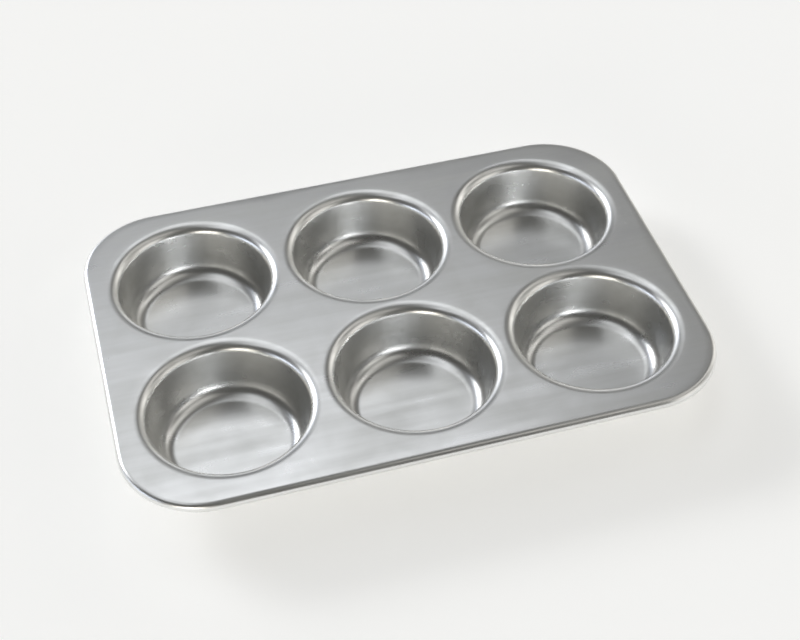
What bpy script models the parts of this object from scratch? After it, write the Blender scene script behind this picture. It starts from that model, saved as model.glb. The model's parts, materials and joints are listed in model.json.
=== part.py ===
"""Six-cup muffin tin: one pressed sheet of aluminium, its edge curled round a steel wire.

Run with: blender --background --python part.py
Metres, +Z up. The origin is on the surface that the cups stand on, under the middle of the tin.
"""

import math

import bmesh
import bpy

MM = 0.001

# Driving dimensions. Each of these can be set by itself.
PAN_LENGTH = 273.0 * MM      # along X, over the rolled rim
PAN_WIDTH = 189.0 * MM       # along Y, over the rolled rim
CORNER_RADIUS = 38.0 * MM    # of the rim's outer edge, seen from above
SHEET = 0.5 * MM             # thickness of the pressed sheet
CUP_DEPTH = 26.5 * MM        # from the deck's top face to a cup's inside floor
WALL_TAPER = math.radians(10.0)       # lean of a cup's wall from upright
LIP_ENTRY_RADIUS = 10.0 * MM          # the deck's first soft roll towards a cup
LIP_ENTRY_TURN = math.radians(12.0)   # how far the soft roll tips the sheet
LIP_RADIUS = 4.8 * MM        # the tighter roll from there into the cup's wall
FLOOR_FILLET = 8.2 * MM      # where a cup's wall rolls into its floor
END_LAND = 3.9 * MM          # flat deck between an end cup and the curl
SIDE_LAND = 5.3 * MM         # flat deck between a cup and the curl, along the long sides
MIDDLE_LAND = 0.4 * MM       # least flat deck between two cups
RIM_RADIUS = 2.7 * MM        # outer radius of the curl
WIRE_CLEARANCE = 0.3 * MM    # between the wire and the inside of the curl
WIRE_BUTT_GAP = 0.5 * MM     # between the wire's two cut ends

COLUMNS = 3
ROWS = 2

# How finely the round stretches are cut
CUP_SIDES = 32
LIP_ENTRY_STEPS = 1
LIP_STEPS = 3
FILLET_STEPS = 4
CORNER_STEPS = 9
CURL_STEP = math.radians(22.5)
CURL_STEPS = 13

# Sizes that follow from the driving dimensions
DECK_Z = CUP_DEPTH + SHEET
MOUTH_RADIUS = min(
    (PAN_LENGTH - 2 * (2 * RIM_RADIUS + END_LAND) - (COLUMNS - 1) * MIDDLE_LAND) / (2 * COLUMNS),
    (PAN_WIDTH - 2 * (2 * RIM_RADIUS + SIDE_LAND) - (ROWS - 1) * MIDDLE_LAND) / (2 * ROWS),
)
PITCH_X = (PAN_LENGTH - 2 * (2 * RIM_RADIUS + END_LAND + MOUTH_RADIUS)) / (COLUMNS - 1)
PITCH_Y = (PAN_WIDTH - 2 * (2 * RIM_RADIUS + SIDE_LAND + MOUTH_RADIUS)) / (ROWS - 1)
WIRE_RADIUS = RIM_RADIUS - SHEET - WIRE_CLEARANCE


def clear_scene():
    for thing in list(bpy.context.scene.objects):
        bpy.data.objects.remove(thing, do_unlink=True)


def bare_metal(name, colour, roughness):
    """The colour is linear RGB."""
    material = bpy.data.materials.new(name)
    material.use_nodes = True
    shader = material.node_tree.nodes["Principled BSDF"]
    shader.inputs["Base Color"].default_value = (*colour, 1.0)
    shader.inputs["Metallic"].default_value = 1.0
    shader.inputs["Roughness"].default_value = roughness
    return material


def rim_outline(outward):
    """Rounded rectangle at a distance outward from the middle of the curl, anticlockwise from above."""
    half_length = PAN_LENGTH / 2 - RIM_RADIUS + outward
    half_width = PAN_WIDTH / 2 - RIM_RADIUS + outward
    radius = CORNER_RADIUS - RIM_RADIUS + outward
    points = []
    for corner in range(4):
        side_x = 1 if corner in (0, 3) else -1
        side_y = 1 if corner in (0, 1) else -1
        for step in range(CORNER_STEPS + 1):
            angle = math.radians(90) * (corner + step / CORNER_STEPS)
            x = side_x * (half_length - radius) + radius * math.cos(angle)
            y = side_y * (half_width - radius) + radius * math.sin(angle)
            points.append((x, y))
    return points


def circle(centre, radius):
    angles = [math.tau * side / CUP_SIDES for side in range(CUP_SIDES)]
    return [(centre[0] + radius * math.cos(a), centre[1] + radius * math.sin(a)) for a in angles]


def roll(points, radius, tilt_from, tilt_to, steps):
    """Adds an arc to a profile that runs inward and down, from one tilt of the sheet to another."""
    start_radius, start_z = points[-1]
    for step in range(1, steps + 1):
        tilt = tilt_from + (tilt_to - tilt_from) * step / steps
        run = radius * abs(math.sin(tilt) - math.sin(tilt_from))
        fall = radius * abs(math.cos(tilt) - math.cos(tilt_from))
        points.append((start_radius - run, start_z - fall))


def cup_profile():
    """(radius, height) from the deck down the inside of a cup to the edge of its floor."""
    wall_tilt = math.radians(90) - WALL_TAPER
    points = [(MOUTH_RADIUS, DECK_Z)]
    roll(points, LIP_ENTRY_RADIUS, 0, LIP_ENTRY_TURN, LIP_ENTRY_STEPS)
    roll(points, LIP_RADIUS, LIP_ENTRY_TURN, wall_tilt, LIP_STEPS)
    wall_radius, wall_top = points[-1]
    wall_foot = SHEET + FLOOR_FILLET * (1 - math.cos(wall_tilt))
    points.append((wall_radius - (wall_top - wall_foot) * math.tan(WALL_TAPER), wall_foot))
    roll(points, FLOOR_FILLET, wall_tilt, 0, FILLET_STEPS)
    return points


def add_ring(bm, outline, z):
    return [bm.verts.new((x, y, z)) for x, y in outline]


def skin(bm, outer, inner):
    """Quads between two rings of the same count, facing up when outer lies around inner."""
    count = len(outer)
    for i in range(count):
        j = (i + 1) % count
        bm.faces.new((outer[i], outer[j], inner[j], inner[i]))


def ring_edges(bm, ring):
    return [bm.edges.get((ring[i - 1], ring[i])) for i in range(len(ring))]


def cup_centres():
    for row in range(ROWS):
        for column in range(COLUMNS):
            x = (column - (COLUMNS - 1) / 2) * PITCH_X
            y = (row - (ROWS - 1) / 2) * PITCH_Y
            yield x, y


def press_cup(bm, centre):
    """Adds one cup and returns its mouth's edges, which the deck is filled up to."""
    rings = [add_ring(bm, circle(centre, radius), z) for radius, z in cup_profile()]
    for outer, inner in zip(rings, rings[1:]):
        skin(bm, outer, inner)
    bm.faces.new(rings[-1])
    return ring_edges(bm, rings[0])


def curl_rim(bm):
    """Adds the curl from the deck's edge outward, down and back in under it; returns the deck's edge."""
    rings = []
    for step in range(CURL_STEPS + 1):
        angle = math.radians(90) - CURL_STEP * step
        z = DECK_Z - RIM_RADIUS + RIM_RADIUS * math.sin(angle)
        rings.append(add_ring(bm, rim_outline(RIM_RADIUS * math.cos(angle)), z))
    for inner, outer in zip(rings, rings[1:]):
        skin(bm, outer, inner)
    return ring_edges(bm, rings[0])


def make_pressed_pan():
    """The upper face of the sheet is built first, and Solidify gives it its thickness below."""
    bm = bmesh.new()
    deck_edges = curl_rim(bm)
    for centre in cup_centres():
        deck_edges += press_cup(bm, centre)
    bmesh.ops.triangle_fill(bm, edges=deck_edges, use_beauty=True, normal=(0, 0, 1))
    mesh = bpy.data.meshes.new("pressed_pan")
    bm.to_mesh(mesh)
    bm.free()
    mesh.shade_smooth()
    pan = bpy.data.objects.new("pressed_pan", mesh)
    bpy.context.scene.collection.objects.link(pan)
    thickness = pan.modifiers.new("sheet", "SOLIDIFY")
    thickness.thickness = SHEET
    thickness.offset = -1
    thickness.use_even_offset = True
    mesh.set_sharp_from_angle(angle=math.radians(50))
    mesh.materials.append(bare_metal("pressed_aluminium", (0.86, 0.86, 0.85), 0.27))
    return pan


def make_rim_wire():
    """One loop of round wire inside the curl, its two ends butted in the middle of the back side."""
    outline = rim_outline(0.0)
    first_in_back = CORNER_STEPS + 1
    back_y = PAN_WIDTH / 2 - RIM_RADIUS
    route = outline[first_in_back:] + outline[:first_in_back]
    route = [(-WIRE_BUTT_GAP / 2, back_y)] + route + [(WIRE_BUTT_GAP / 2, back_y)]
    curve = bpy.data.curves.new("rim_wire", "CURVE")
    curve.dimensions = "3D"
    curve.bevel_depth = WIRE_RADIUS
    curve.bevel_resolution = 2
    curve.use_fill_caps = True
    spline = curve.splines.new("POLY")
    spline.points.add(len(route) - 1)
    for point, (x, y) in zip(spline.points, route):
        point.co = (x, y, DECK_Z - RIM_RADIUS, 1.0)
    curve.materials.append(bare_metal("galvanised_wire", (0.42, 0.43, 0.44), 0.45))
    wire = bpy.data.objects.new("rim_wire", curve)
    bpy.context.scene.collection.objects.link(wire)
    return wire


clear_scene()
make_pressed_pan()
make_rim_wire()
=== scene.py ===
# %% [markdown]
# # A six-cup muffin tin
# A plain kitchen tin, pressed from one sheet of aluminium. A press pushes six cups down through
# a flat sheet, and then the sheet's edge is curled round a steel wire so that it is stiff and safe to
# hold. Two pieces are modelled: the pressed sheet and the wire. Bare metal has almost no colour of its
# own, so most of this lesson is about clean surfaces and about what those surfaces reflect.

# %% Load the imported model
import math

import bmesh
import bpy
from mathutils import Euler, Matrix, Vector
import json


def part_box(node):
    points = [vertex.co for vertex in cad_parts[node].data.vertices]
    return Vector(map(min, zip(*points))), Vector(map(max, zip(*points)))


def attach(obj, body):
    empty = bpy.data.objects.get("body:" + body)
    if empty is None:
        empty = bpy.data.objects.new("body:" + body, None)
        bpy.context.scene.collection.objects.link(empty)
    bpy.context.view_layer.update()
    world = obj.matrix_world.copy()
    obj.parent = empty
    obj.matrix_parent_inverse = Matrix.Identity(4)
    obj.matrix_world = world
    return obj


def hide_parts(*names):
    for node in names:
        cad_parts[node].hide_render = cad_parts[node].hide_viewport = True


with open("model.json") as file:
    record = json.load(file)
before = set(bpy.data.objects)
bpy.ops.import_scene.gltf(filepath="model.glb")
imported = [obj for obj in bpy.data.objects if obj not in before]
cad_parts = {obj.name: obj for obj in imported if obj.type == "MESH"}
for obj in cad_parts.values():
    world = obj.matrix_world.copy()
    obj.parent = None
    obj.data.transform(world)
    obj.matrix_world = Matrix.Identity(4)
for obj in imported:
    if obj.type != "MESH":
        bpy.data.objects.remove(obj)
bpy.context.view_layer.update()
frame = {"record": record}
MM = 0.001
low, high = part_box("pressed_pan")
print("tin, mm:", [round(side / MM, 1) for side in high - low])

# %% [markdown]
# ## Two small helpers
# Colours are written as the hex values of a colour picker, which are sRGB. Blender's shaders add up
# light, so they want linear values, and one function does that change. The other adds a shader node
# with its settings and its links in one call, which keeps a long material readable.

# %% Helpers for colours and nodes
def linear(hex_colour):
    channels = [int(hex_colour[i:i + 2], 16) / 255 for i in (1, 3, 5)]
    return tuple(c / 12.92 if c <= 0.04045 else ((c + 0.055) / 1.055) ** 2.4 for c in channels)


def add_node(tree, kind, settings=None, *in_order, **by_name):
    """Adds a node. settings are its own properties. Its inputs are given in order, or by name with _
    for a space, and each is a value or another node's output."""
    node = tree.nodes.new(kind)
    for name, value in (settings or {}).items():
        setattr(node, name, value)
    inputs = list(zip(node.inputs, in_order))
    inputs += [(node.inputs[name.replace("_", " ")], value) for name, value in by_name.items()]
    for socket, value in inputs:
        if isinstance(value, bpy.types.NodeSocket):
            tree.links.new(value, socket)
        else:
            socket.default_value = value
    return node


print("mid grey in linear light:", round(linear("#808080")[0], 3))

# %% [markdown]
# ## Sizes
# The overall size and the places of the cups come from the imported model. The sizes of the bends are the
# tin's own: a lip where the deck rolls into each cup, a slightly leaning wall, and a wide fillet where
# the wall meets the floor. A press tool can't make a sharp corner in thin sheet without tearing it, so
# every bend is many times the sheet's thickness.

# %% Sizes of the tin
SHEET = 0.5 * MM
RIM_RADIUS = 2.7 * MM
CORNER_RADIUS = 38.0 * MM
MOUTH_RADIUS = 41.8 * MM
LIP_ENTRY_RADIUS = 10.0 * MM
LIP_ENTRY_TURN = math.radians(12.0)
LIP_RADIUS = 4.8 * MM
FLOOR_FILLET = 8.2 * MM
WALL_TAPER = math.radians(10.0)
WIRE_CLEARANCE = 0.3 * MM

deck_z = high.z
half_length = (high.x - low.x) / 2
half_width = (high.y - low.y) / 2
cup_feet = [m["pos_m"] for m in frame["record"]["mounts"] if m["name"].endswith("_cup_foot")]
column_x = sorted({round(foot[0], 5) for foot in cup_feet})
row_y = sorted({round(foot[1], 5) for foot in cup_feet})
print("cups, mm:", [round(x / MM, 1) for x in column_x], [round(y / MM, 1) for y in row_y])

# %% [markdown]
# ## The camera
# A slightly long lens about seventy centimetres away, looking down at forty-five degrees from the
# front and a little from the left, so that all six cups show their floors. The camera leans a degree,
# as a hand-held one does.

# %% Camera
CAMERA_DISTANCE = 674.7 * MM
CAMERA_AZIMUTH = math.radians(-14.78)    # from straight in front, towards the right
CAMERA_ELEVATION = math.radians(45.17)
CAMERA_LEAN = math.radians(-1.21)
CAMERA_AIM = (1.2 * MM, -12.7 * MM)      # on the deck
LENS = 65.74

aim = Vector((*CAMERA_AIM, deck_z))
back = Vector((
    math.sin(CAMERA_AZIMUTH) * math.cos(CAMERA_ELEVATION),
    -math.cos(CAMERA_AZIMUTH) * math.cos(CAMERA_ELEVATION),
    math.sin(CAMERA_ELEVATION),
))
camera = bpy.data.objects.new("camera", bpy.data.cameras.new("camera"))
camera.data.lens = LENS
camera.data.clip_start = 10 * MM
camera.location = aim + back * CAMERA_DISTANCE
look = (-back).to_track_quat("-Z", "Y")
camera.rotation_mode = "QUATERNION"
camera.rotation_quaternion = look @ Euler((0, 0, CAMERA_LEAN)).to_quaternion()
bpy.context.scene.collection.objects.link(camera)
bpy.context.scene.camera = camera
print("camera at, mm:", [round(c / MM) for c in camera.location])

# %% [markdown]
# ## The outline of the deck
# Seen from above, the deck's edge is a rectangle with round corners. A point on it is named by its
# side and by how far along the side it is, counted from the side's middle. Past the straight stretch
# the same count goes on round the corner's arc, so one function serves straights and corners.

# %% A point on the deck's edge
edge_x = half_length - RIM_RADIUS
edge_y = half_width - RIM_RADIUS
edge_radius = CORNER_RADIUS - RIM_RADIUS


def edge_point(side, along):
    """(x, y, facing): side 0 is right, 1 back, 2 left and 3 front, and along runs anticlockwise."""
    reach, half = (edge_x, edge_y) if side % 2 == 0 else (edge_y, edge_x)
    straight = half - edge_radius
    turn = math.copysign(max(abs(along) - straight, 0) / edge_radius, along)
    out = reach - edge_radius + edge_radius * math.cos(turn)
    across = max(-straight, min(straight, along)) + edge_radius * math.sin(turn)
    facing = side * math.radians(90)
    x = out * math.cos(facing) - across * math.sin(facing)
    y = out * math.sin(facing) + across * math.cos(facing)
    return x, y, facing + turn


def side_reach(side):
    """How far along a side its corner's middle is."""
    half = edge_y if side % 2 == 0 else edge_x
    return half - edge_radius + edge_radius * math.radians(45)


print("corner's middle, mm:", [round(c / MM, 1) for c in edge_point(0, side_reach(0))[:2]])

# %% [markdown]
# ## One cell of deck for each cup
# Deck and cups are one smooth sheet, and a mirror-like metal shows every uneven face. Cutting round
# holes into a flat face would leave long thin triangles between them, whose shading breaks up. Instead
# each cup has its own four-sided cell of the deck, and every ring of faces runs from the cell's border
# round the cup and down to the middle of its floor. Neighbouring cells share their borders.

# %% The border of a cell
STEPS_PER_SIDE = 32
split_x = [-edge_x] + [(a + b) / 2 for a, b in zip(column_x, column_x[1:])] + [edge_x]
split_y = [-edge_y] + [(a + b) / 2 for a, b in zip(row_y, row_y[1:])] + [edge_y]
last_column = len(column_x) - 1
last_row = len(row_y) - 1


def rim_span(side, column, row):
    """Where a cell's outer side starts and ends along the deck's edge, anticlockwise."""
    splits, index, count = [
        (split_y, row, last_row), (split_x, column, last_column),
        (split_y, row, last_row), (split_x, column, last_column),
    ][side]
    start = -side_reach(side) if index == 0 else splits[index]
    end = side_reach(side) if index == count else splits[index + 1]
    return (start, end) if side in (0, 3) else (-end, -start)


def is_rim_side(side, column, row):
    return (column == last_column, row == last_row, column == 0, row == 0)[side]


def cell_corner(side, column, row):
    """The corner where a side starts: front right, back right, back left, front left."""
    for rim_side, at_end in ((side, False), ((side - 1) % 4, True)):
        if is_rim_side(rim_side, column, row):
            span = rim_span(rim_side, column, row)
            return edge_point(rim_side, span[1] if at_end else span[0])[:2]
    x = split_x[column + 1] if side in (0, 1) else split_x[column]
    y = split_y[row + 1] if side in (1, 2) else split_y[row]
    return x, y


def cell_border(column, row):
    """Points round a cell, anticlockwise from its front right corner."""
    points = []
    for side in range(4):
        start = cell_corner(side, column, row)
        end = cell_corner((side + 1) % 4, column, row)
        for step in range(STEPS_PER_SIDE):
            share = step / STEPS_PER_SIDE
            if is_rim_side(side, column, row):
                first, last = rim_span(side, column, row)
                points.append(edge_point(side, first + (last - first) * share)[:2])
            else:
                x = start[0] + (end[0] - start[0]) * share
                y = start[1] + (end[1] - start[1]) * share
                points.append((x, y))
    return points


print("points round one cell:", len(cell_border(0, 0)))

# %% [markdown]
# ## The section of a cup
# A soft roll tips the deck towards the cup, a tighter one turns it into the wall, and after the
# straight wall a wide fillet leads into the floor. They all meet smoothly. The heights and radii follow
# from the lean of the wall, so the section stays smooth whatever the depth.

# %% Rings of a cup, from the deck down to the floor
ENTRY_STEPS = 4
LIP_STEPS = 14
WALL_STEPS = 6
FILLET_STEPS = 18
FLOOR_STEPS = 5


def roll(points, radius, tilt_from, tilt_to, steps):
    """Adds an arc to a profile that runs inward and down, from one tilt of the sheet to another."""
    start_radius, start_z = points[-1]
    for step in range(1, steps + 1):
        tilt = tilt_from + (tilt_to - tilt_from) * step / steps
        run = radius * abs(math.sin(tilt) - math.sin(tilt_from))
        fall = radius * abs(math.cos(tilt) - math.cos(tilt_from))
        points.append((start_radius - run, start_z - fall))


def cup_section():
    """(radius, height) from the deck's edge to the middle of the floor."""
    wall_tilt = math.radians(90) - WALL_TAPER
    points = [(MOUTH_RADIUS, deck_z)]
    roll(points, LIP_ENTRY_RADIUS, 0, LIP_ENTRY_TURN, ENTRY_STEPS)
    roll(points, LIP_RADIUS, LIP_ENTRY_TURN, wall_tilt, LIP_STEPS)
    wall_radius, wall_top = points[-1]
    wall_foot = low.z + SHEET + FLOOR_FILLET * (1 - math.cos(wall_tilt))
    wall_height = wall_top - wall_foot
    for step in range(1, WALL_STEPS + 1):
        fall = wall_height * step / WALL_STEPS
        points.append((wall_radius - fall * math.tan(WALL_TAPER), wall_top - fall))
    roll(points, FLOOR_FILLET, wall_tilt, 0, FILLET_STEPS)
    floor_radius, floor_z = points[-1]
    for step in range(1, FLOOR_STEPS):
        points.append((floor_radius * (1 - step / FLOOR_STEPS), floor_z))
    return points


section = cup_section()
print("mouth across at the wall, mm:", round(2 * section[ENTRY_STEPS + LIP_STEPS][0] / MM, 1))
print("flat floor across, mm:", round(2 * section[-FLOOR_STEPS][0] / MM, 1))

# %% [markdown]
# ## The curled rim
# From the deck's edge the sheet rolls outward, down and back in under the deck, round the wire. Each
# step of the roll is one ring that follows the deck's edge at its own distance outside it. Only the
# upper face is drawn, and a Solidify modifier gives the sheet its thickness below.

# %% Build the upper face of the sheet
DECK_RINGS = 4
MERGE_DISTANCE = 0.01 * MM   # joins the borders that neighbouring cells share
CURL_STEPS = 26
CURL_TURN = math.radians(292.5)


def skin(bm, outer, inner):
    """Quads between two rings of the same count; they face up when outer lies around inner."""
    for i in range(len(outer)):
        j = (i + 1) % len(outer)
        bm.faces.new((outer[i], outer[j], inner[j], inner[i]))


def add_cell(bm, column, row):
    centre = (column_x[column], row_y[row])
    border = cell_border(column, row)
    count = len(border)
    around = [math.radians(-45) + math.tau * i / count for i in range(count)]
    mouth = [(centre[0] + MOUTH_RADIUS * math.cos(a), centre[1] + MOUTH_RADIUS * math.sin(a))
             for a in around]
    rings = []
    for step in range(DECK_RINGS):
        share = step / DECK_RINGS
        rings.append([bm.verts.new((bx + (mx - bx) * share, by + (my - by) * share, deck_z))
                      for (bx, by), (mx, my) in zip(border, mouth)])
    for radius, z in section:
        rings.append([bm.verts.new((centre[0] + radius * math.cos(a),
                                    centre[1] + radius * math.sin(a), z)) for a in around])
    for outer, inner in zip(rings, rings[1:]):
        skin(bm, outer, inner)
    bm.faces.new(rings[-1])


def add_curl(bm):
    stations = []
    order = [(0, last_column, row) for row in range(last_row + 1)]
    order += [(1, column, last_row) for column in range(last_column, -1, -1)]
    order += [(2, 0, row) for row in range(last_row, -1, -1)]
    order += [(3, column, 0) for column in range(last_column + 1)]
    for side, column, row in order:
        first, last = rim_span(side, column, row)
        for step in range(STEPS_PER_SIDE):
            stations.append(edge_point(side, first + (last - first) * step / STEPS_PER_SIDE))
    rings = []
    for step in range(CURL_STEPS + 1):
        angle = CURL_TURN * step / CURL_STEPS
        out = RIM_RADIUS * math.sin(angle)
        z = deck_z - RIM_RADIUS * (1 - math.cos(angle))
        rings.append([bm.verts.new((x + out * math.cos(facing), y + out * math.sin(facing), z))
                      for x, y, facing in stations])
    for inner, outer in zip(rings, rings[1:]):
        skin(bm, outer, inner)


bm = bmesh.new()
for column in range(last_column + 1):
    for row in range(last_row + 1):
        add_cell(bm, column, row)
add_curl(bm)
bmesh.ops.remove_doubles(bm, verts=bm.verts, dist=MERGE_DISTANCE)
sheet_mesh = bpy.data.meshes.new("pressed_sheet")
bm.to_mesh(sheet_mesh)
bm.free()
sheet_mesh.shade_smooth()
pressed_sheet = bpy.data.objects.new("pressed_sheet", sheet_mesh)
bpy.context.scene.collection.objects.link(pressed_sheet)
thickness = pressed_sheet.modifiers.new("sheet", "SOLIDIFY")
thickness.thickness = SHEET
thickness.offset = -1
thickness.use_even_offset = True
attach(pressed_sheet, "root")
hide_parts("pressed_pan")
print("faces of the upper skin:", len(sheet_mesh.polygons))

# %% [markdown]
# ## Bare rolled aluminium
# The sheet is rolled aluminium, left bare. The rollers leave a fine grain along the sheet's length, and
# the press draws the sheet down into the cups, where the tool irons the walls a little smoother. To the
# eye that gives a satin mirror: shapes in the room show as soft patches of light and dark, and because
# aluminium reflects nearly nine tenths of the light, a patch is still bright after two or three bounces
# inside a cup. Washing and handling add faint cloudy smudges. All of it is worked out from noise in the
# tin's own millimetres, so it stays the same size if the mesh changes.

# %% Rolled aluminium
SMUDGE_SIZE = 24.0           # mm, about what a fingertip or a cloth leaves
STREAK_LENGTH = 90.0         # mm
STREAK_WIDTH = 6.0           # mm, bands of grain that the rollers left duller

aluminium = bpy.data.materials.new("rolled_aluminium")
aluminium.use_nodes = True
tree = aluminium.node_tree
shader = tree.nodes["Principled BSDF"]
shader.inputs["Metallic"].default_value = 1.0

place = add_node(tree, "ShaderNodeTexCoord").outputs["Object"]
in_mm = add_node(tree, "ShaderNodeVectorMath", {"operation": "SCALE"}, Vector=place, Scale=1 / MM).outputs[0]
smudge = add_node(tree, "ShaderNodeTexNoise", Vector=in_mm, Scale=1 / SMUDGE_SIZE, Detail=4.0,
                  Roughness=0.55, Distortion=0.4).outputs["Fac"]
streak_place = add_node(tree, "ShaderNodeMapping", Vector=in_mm,
                        Scale=(1 / STREAK_LENGTH, 1 / STREAK_WIDTH, 1 / STREAK_WIDTH)).outputs[0]
streak = add_node(tree, "ShaderNodeTexNoise", Vector=streak_place, Scale=1.0, Detail=3.0).outputs["Fac"]
clouds = add_node(tree, "ShaderNodeMath", {"operation": "ADD"}, smudge, streak).outputs[0]
cleanness = add_node(tree, "ShaderNodeMapRange", Value=clouds, From_Min=0.7, From_Max=1.3).outputs[0]
tone = add_node(tree, "ShaderNodeMixRGB", Fac=cleanness, Color1=(*linear("#e8e8e5"), 1.0),
                Color2=(*linear("#f7f7f6"), 1.0)).outputs[0]
print("clean aluminium reflects:", round(linear("#f7f7f6")[0], 2))

# %% [markdown]
# ## Smoother cup walls
# The tool irons the sheet where it is drawn down past the lip, so the walls and floors are a shade
# glossier than the deck. The height alone tells them apart, so a smooth change over the lip's height is
# all that it takes. The smudges are a little duller than the clean metal between them.

# %% Roughness of the deck and the cups
DECK_ROUGHNESS = 0.32
WALL_ROUGHNESS = 0.30
SMUDGE_DULLING = 0.05        # how far a smudge raises the roughness, and clean metal lowers it

depth_in_cup = add_node(tree, "ShaderNodeSeparateXYZ", Vector=in_mm).outputs["Z"]
polish = add_node(tree, "ShaderNodeMapRange", {"interpolation_type": "SMOOTHSTEP"}, Value=depth_in_cup,
                  From_Min=(deck_z - LIP_RADIUS) / MM, From_Max=deck_z / MM,
                  To_Min=WALL_ROUGHNESS, To_Max=DECK_ROUGHNESS).outputs[0]
clouded = add_node(tree, "ShaderNodeMapRange", Value=cleanness, To_Min=SMUDGE_DULLING,
                   To_Max=-SMUDGE_DULLING).outputs[0]
roughness = add_node(tree, "ShaderNodeMath", {"operation": "ADD"}, polish, clouded).outputs[0]
print("roughness, wall and deck:", WALL_ROUGHNESS, DECK_ROUGHNESS)

# %% [markdown]
# ## Scratched spots
# Two places by the right-hand rim, where a tin is gripped and knocked, can carry a few fine specks. A
# fine noise gives the specks, and only its highest peaks count as one. Near a scratched spot the noise
# is lifted, so that more of its peaks pass the limit there than elsewhere. The limit is set high, so
# the specks are sparse.

# %% Specks in the scratched spots
SCRATCHED_SPOTS = (
    # mm in from the right-hand end, mm back from the end's middle, radius in mm
    (11.5, 20.5, 7.0),
    (13.0, 8.5, 5.0),
)
SPOT_LIFT = 0.36             # how strongly the middle of a spot is scratched
SPOT_SHARE = 0.5             # how much of that is added to the noise
SPECK_START = 0.80           # noise above this begins to show as a speck
SPECK_FULL = 0.84
SPECK_DULLING = 0.35
SPECK_SIZE = 0.55            # mm; the real ones are hair-thin, and this is as fine as shows

fine_place = add_node(tree, "ShaderNodeMapping", Vector=in_mm, Rotation=(0, 0, math.radians(25)),
                      Scale=(1 / SPECK_SIZE, 0.4 / SPECK_SIZE, 1 / SPECK_SIZE)).outputs[0]
speckle = add_node(tree, "ShaderNodeTexNoise", Vector=fine_place, Scale=1.0, Detail=2.0).outputs["Fac"]
scratched = 0.0
for from_end, back_from_middle, radius in SCRATCHED_SPOTS:
    spot = (half_length / MM - from_end, back_from_middle, deck_z / MM)
    apart = add_node(tree, "ShaderNodeVectorMath", {"operation": "DISTANCE"}, in_mm, spot).outputs["Value"]
    near = add_node(tree, "ShaderNodeMapRange", {"interpolation_type": "SMOOTHSTEP"}, Value=apart,
                    From_Min=0.0, From_Max=radius, To_Min=SPOT_LIFT, To_Max=0.0).outputs[0]
    scratched = add_node(tree, "ShaderNodeMath", {"operation": "MAXIMUM"}, scratched, near).outputs[0]
lift = add_node(tree, "ShaderNodeMath", {"operation": "MULTIPLY"}, scratched, SPOT_SHARE).outputs[0]
worn = add_node(tree, "ShaderNodeMath", {"operation": "ADD"}, lift, speckle).outputs[0]
speck = add_node(tree, "ShaderNodeMapRange", Value=worn, From_Min=SPECK_START,
                 From_Max=SPECK_FULL).outputs[0]
scratch_tone = add_node(tree, "ShaderNodeMixRGB", Fac=speck, Color1=tone, Color2=(1, 1, 1, 1)).outputs[0]
tree.links.new(scratch_tone, shader.inputs["Base Color"])
duller = add_node(tree, "ShaderNodeMath", {"operation": "MULTIPLY"}, speck, SPECK_DULLING).outputs[0]
worn_roughness = add_node(tree, "ShaderNodeMath", {"operation": "ADD"}, roughness, duller).outputs[0]
tree.links.new(worn_roughness, shader.inputs["Roughness"])
print("scratched spots:", len(SCRATCHED_SPOTS))

# %% [markdown]
# ## Rolling grain
# The rollers leave hair-fine lines along the sheet's length. They are far too shallow to model as
# shape, so a bump of two thousandths of a millimetre stands for them, from a noise that is stretched
# along the sheet.

# %% Grain
GRAIN_LENGTH = 36.0          # mm along the sheet
GRAIN_WIDTH = 0.8            # mm; real grain is finer, but finer lines would be too small to show
GRAIN_HEIGHT = 0.0022 * MM
grain_place = add_node(tree, "ShaderNodeMapping", Vector=in_mm,
                       Scale=(1 / GRAIN_LENGTH, 1 / GRAIN_WIDTH, 1 / GRAIN_WIDTH)).outputs[0]
grain = add_node(tree, "ShaderNodeTexNoise", Vector=grain_place, Scale=1.0, Detail=3.0,
                 Roughness=0.6).outputs["Fac"]
relief = add_node(tree, "ShaderNodeBump", Height=grain, Distance=GRAIN_HEIGHT, Strength=1.0).outputs[0]
tree.links.new(relief, shader.inputs["Normal"])
sheet_mesh.materials.append(aluminium)
print("grain, mm long, wide and high:", GRAIN_LENGTH, GRAIN_WIDTH, GRAIN_HEIGHT / MM)

# %% [markdown]
# ## The wire in the rim
# A drawn steel wire runs inside the curl. It shows only from below, through the gap where the curl's
# edge stops short of the deck. A curve with a round bevel is the natural way to make a bent wire, and it
# is turned into a mesh once it is bent. It follows the same outline as the deck's edge, and its two cut
# ends meet in the middle of the back side.

# %% Rim wire
WIRE_RADIUS = RIM_RADIUS - SHEET - WIRE_CLEARANCE
WIRE_BUTT_GAP = 0.5 * MM
POINTS_PER_HALF_SIDE = 24

wire_route = [edge_point(1, WIRE_BUTT_GAP / 2)]
for side in (1, 2, 3, 4, 5):
    reach = side_reach(side)
    for step in range(-POINTS_PER_HALF_SIDE, POINTS_PER_HALF_SIDE + 1):
        along = reach * step / POINTS_PER_HALF_SIDE
        past_start = side > 1 or along > WIRE_BUTT_GAP
        before_end = side < 5 or along < -WIRE_BUTT_GAP
        repeats = side > 1 and step == -POINTS_PER_HALF_SIDE
        if past_start and before_end and not repeats:
            wire_route.append(edge_point(side, along))
wire_route.append(edge_point(5, -WIRE_BUTT_GAP / 2))

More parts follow.
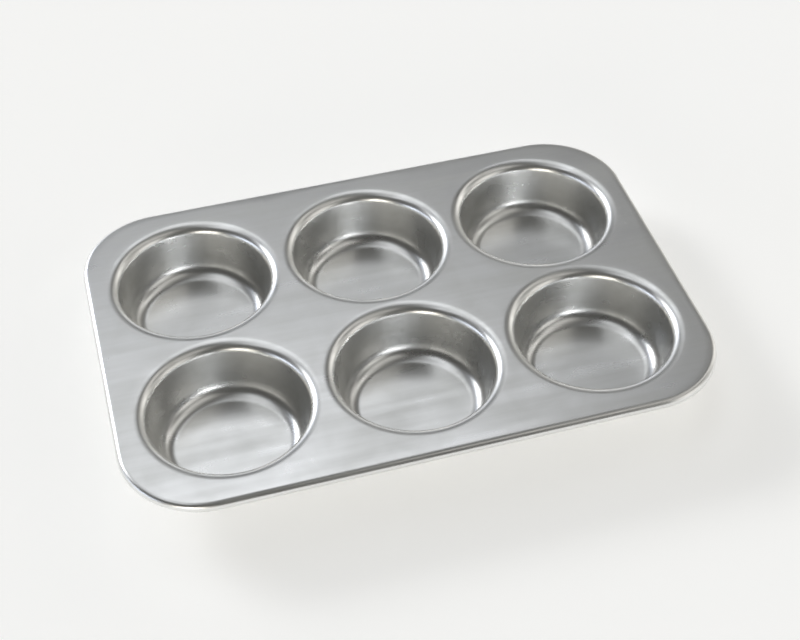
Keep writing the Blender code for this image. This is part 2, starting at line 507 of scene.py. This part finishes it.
wire_curve = bpy.data.curves.new("wire_route", "CURVE")
wire_curve.dimensions = "3D"
wire_curve.bevel_depth = WIRE_RADIUS
wire_curve.bevel_resolution = 6
wire_curve.use_fill_caps = True
spline = wire_curve.splines.new("POLY")
spline.points.add(len(wire_route) - 1)
for point, (x, y, facing) in zip(spline.points, wire_route):
    point.co = (x, y, deck_z - RIM_RADIUS, 1.0)
route = bpy.data.objects.new("wire_route", wire_curve)
bpy.context.scene.collection.objects.link(route)
bent_wire = route.evaluated_get(bpy.context.evaluated_depsgraph_get())
wire_mesh = bpy.data.meshes.new_from_object(bent_wire)
bpy.data.objects.remove(route)
wire_mesh.shade_smooth()
wire_mesh.set_sharp_from_angle(angle=math.radians(40))
wire_in_rim = bpy.data.objects.new("wire_in_rim", wire_mesh)
bpy.context.scene.collection.objects.link(wire_in_rim)
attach(wire_in_rim, "root")
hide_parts("rim_wire")
print("wire, mm across and points:", round(2 * WIRE_RADIUS / MM, 1), len(wire_route))

# %% [markdown]
# ## Drawn steel
# Steel wire is pulled through a die and galvanised, which leaves it a darker and duller grey than the
# sheet. So little of it shows that one noise for its tone and its roughness is enough.

# %% Drawn steel wire
WIRE_MOTTLE = 0.8            # blotches of the zinc in each mm

drawn_wire = bpy.data.materials.new("drawn_steel_wire")
drawn_wire.use_nodes = True
tree = drawn_wire.node_tree
shader = tree.nodes["Principled BSDF"]
shader.inputs["Metallic"].default_value = 1.0
place = add_node(tree, "ShaderNodeTexCoord").outputs["Object"]
in_mm = add_node(tree, "ShaderNodeVectorMath", {"operation": "SCALE"}, Vector=place, Scale=1 / MM).outputs[0]
dullness = add_node(tree, "ShaderNodeTexNoise", Vector=in_mm, Scale=WIRE_MOTTLE, Detail=4.0).outputs["Fac"]
tone = add_node(tree, "ShaderNodeMixRGB", Fac=dullness, Color1=(*linear("#8f9091"), 1.0),
                Color2=(*linear("#b4b5b5"), 1.0)).outputs[0]
tree.links.new(tone, shader.inputs["Base Color"])
polish = add_node(tree, "ShaderNodeMapRange", Value=dullness, To_Min=0.35, To_Max=0.5).outputs[0]
tree.links.new(polish, shader.inputs["Roughness"])
wire_mesh.materials.clear()
wire_mesh.materials.append(drawn_wire)
print("wire's nodes:", len(tree.nodes))

# %% [markdown]
# ## The table
# A wide sheet of white board, lit a little from below as on a light table, so it stays pale and plain
# behind the metal. It is stage and not part of the tin.

# %% Table
TABLE_SIZE = 40.0            # m across, so that its far edge never shows
TABLE_GAP = 0.03 * MM        # keeps the cups' feet and the table from sharing one plane
bpy.ops.mesh.primitive_plane_add(size=TABLE_SIZE, location=(0, 0, low.z - TABLE_GAP))
table_top = bpy.context.object
table_top.name = "table_top"
white_board = bpy.data.materials.new("white_board")
white_board.use_nodes = True
board_shader = white_board.node_tree.nodes["Principled BSDF"]
board_shader.inputs["Base Color"].default_value = (*linear("#f6f6f4"), 1.0)
board_shader.inputs["Roughness"].default_value = 0.9
board_shader.inputs["Specular IOR Level"].default_value = 0.1
board_shader.inputs["Emission Color"].default_value = (*linear("#fffefc"), 1.0)
board_shader.inputs["Emission Strength"].default_value = 0.4
table_top.data.materials.append(white_board)
print("table, m across:", TABLE_SIZE)

# %% [markdown]
# ## The light
# Bare metal shows the room, so the room is what is designed here: a dim studio with soft boxes standing
# round the table, each a patch of the world's sky with soft edges. The brightest is a small lamp in
# front of a window at the back left, and the next is a strip at the front left. Softer panels stand at
# the back, the left and the right, and two hang under the ceiling. Between them they give every lip its
# run of light, dark and light. Directions are counted anticlockwise from the tin's right-hand side.

# %% Where a ray of light comes from
room = bpy.data.worlds.new("soft_box_room")
bpy.context.scene.world = room
room.use_nodes = True
tree = room.node_tree
direction = add_node(tree, "ShaderNodeTexCoord").outputs["Generated"]
height = add_node(tree, "ShaderNodeSeparateXYZ", Vector=direction).outputs["Z"]
flat_direction = add_node(tree, "ShaderNodeVectorMath", {"operation": "MULTIPLY"}, direction,
                          (1.0, 1.0, 0.0)).outputs[0]
level = add_node(tree, "ShaderNodeVectorMath", {"operation": "NORMALIZE"}, flat_direction).outputs[0]
print("room's nodes before its soft boxes:", len(tree.nodes))

# %% [markdown]
# ## One soft box
# A soft box covers a span of directions round the room and a span of heights above the table. Sines
# and cosines of those angles are compared, because a direction gives them at once, and each of the
# box's edges is a smooth step from dark to light.

# %% A soft box in the sky
def soft_box(middle, width, bottom, top, colour, strength, softness):
    """A soft box's light in every direction. Its middle and width round the room and its bottom and
    top above the table are in degrees."""
    towards = (math.cos(math.radians(middle)), math.sin(math.radians(middle)), 0.0)
    facing = add_node(tree, "ShaderNodeVectorMath", {"operation": "DOT_PRODUCT"}, level, towards)
    across, above, over = [
        add_node(tree, "ShaderNodeMapRange", {"interpolation_type": "SMOOTHERSTEP"}, Value=value,
                 From_Min=edge - softness, From_Max=edge + softness, To_Min=0.0, To_Max=1.0).outputs[0]
        for value, edge in (
            (facing.outputs["Value"], math.cos(math.radians(width / 2))),
            (height, math.sin(math.radians(bottom))),
            (height, math.sin(math.radians(top))),
        )
    ]
    band = add_node(tree, "ShaderNodeMath", {"operation": "SUBTRACT"}, above, over).outputs[0]
    mask = add_node(tree, "ShaderNodeMath", {"operation": "MULTIPLY"}, across, band).outputs[0]
    shine = tuple(c * strength for c in linear(colour))
    return add_node(tree, "ShaderNodeVectorMath", {"operation": "SCALE"}, shine, Scale=mask).outputs[0]


print("a white soft box of strength 2 shines with:", [2 * c for c in linear("#ffffff")])

# %% [markdown]
# ## The room's soft boxes
# Every light in the room is one row of settings, and their light is added up on a dim warm grey that
# stands for the walls. The picture is shown through the Standard view, which keeps white things white.

# %% The room
dim_room = add_node(tree, "ShaderNodeCombineXYZ", X=0.065, Y=0.064, Z=0.060).outputs[0]
SOFT_BOXES = {
    # name: middle, width, bottom, top, colour, strength, softness
    "lamp": (130, 20, 18, 30, "#ffffff", 16.0, 0.03),
    "window": (125, 40, 10, 40, "#e8f0ff", 1.5, 0.08),
    "left_panel": (180, 45, 5, 15, "#e8f0ff", 2.5, 0.03),
    "front_left_strip": (240, 25, -20, 15, "#fffaf0", 5.0, 0.03),
    "right_panel": (320, 35, -20, 35, "#fffdf8", 1.0, 0.08),
    "right_low_panel": (20, 95, -15, 30, "#fffdf8", 0.4, 0.08),
    "back_panel": (85, 45, -15, 20, "#f8fbff", 0.8, 0.08),
    "back_high_panel": (85, 45, 45, 60, "#f8fbff", 1.2, 0.08),
    "back_right_panel": (20, 20, -5, 50, "#fffdf8", 0.9, 0.03),
    "ceiling_left": (145, 150, 60, 75, "#f8fbff", 1.2, 0.08),
    "ceiling_right": (335, 100, 45, 65, "#fffdf8", 0.6, 0.08),
}
light = dim_room
for settings in SOFT_BOXES.values():
    box_light = soft_box(*settings)
    light = add_node(tree, "ShaderNodeVectorMath", {"operation": "ADD"}, light, box_light).outputs[0]
tree.links.new(light, tree.nodes["Background"].inputs["Color"])
bpy.context.scene.view_settings.view_transform = "Standard"
print("soft boxes round the room:", len(SOFT_BOXES))

# %% [markdown]
# ## Finish
# The fine surface has to fill the same box as the imported model.

# %% Finish
import json
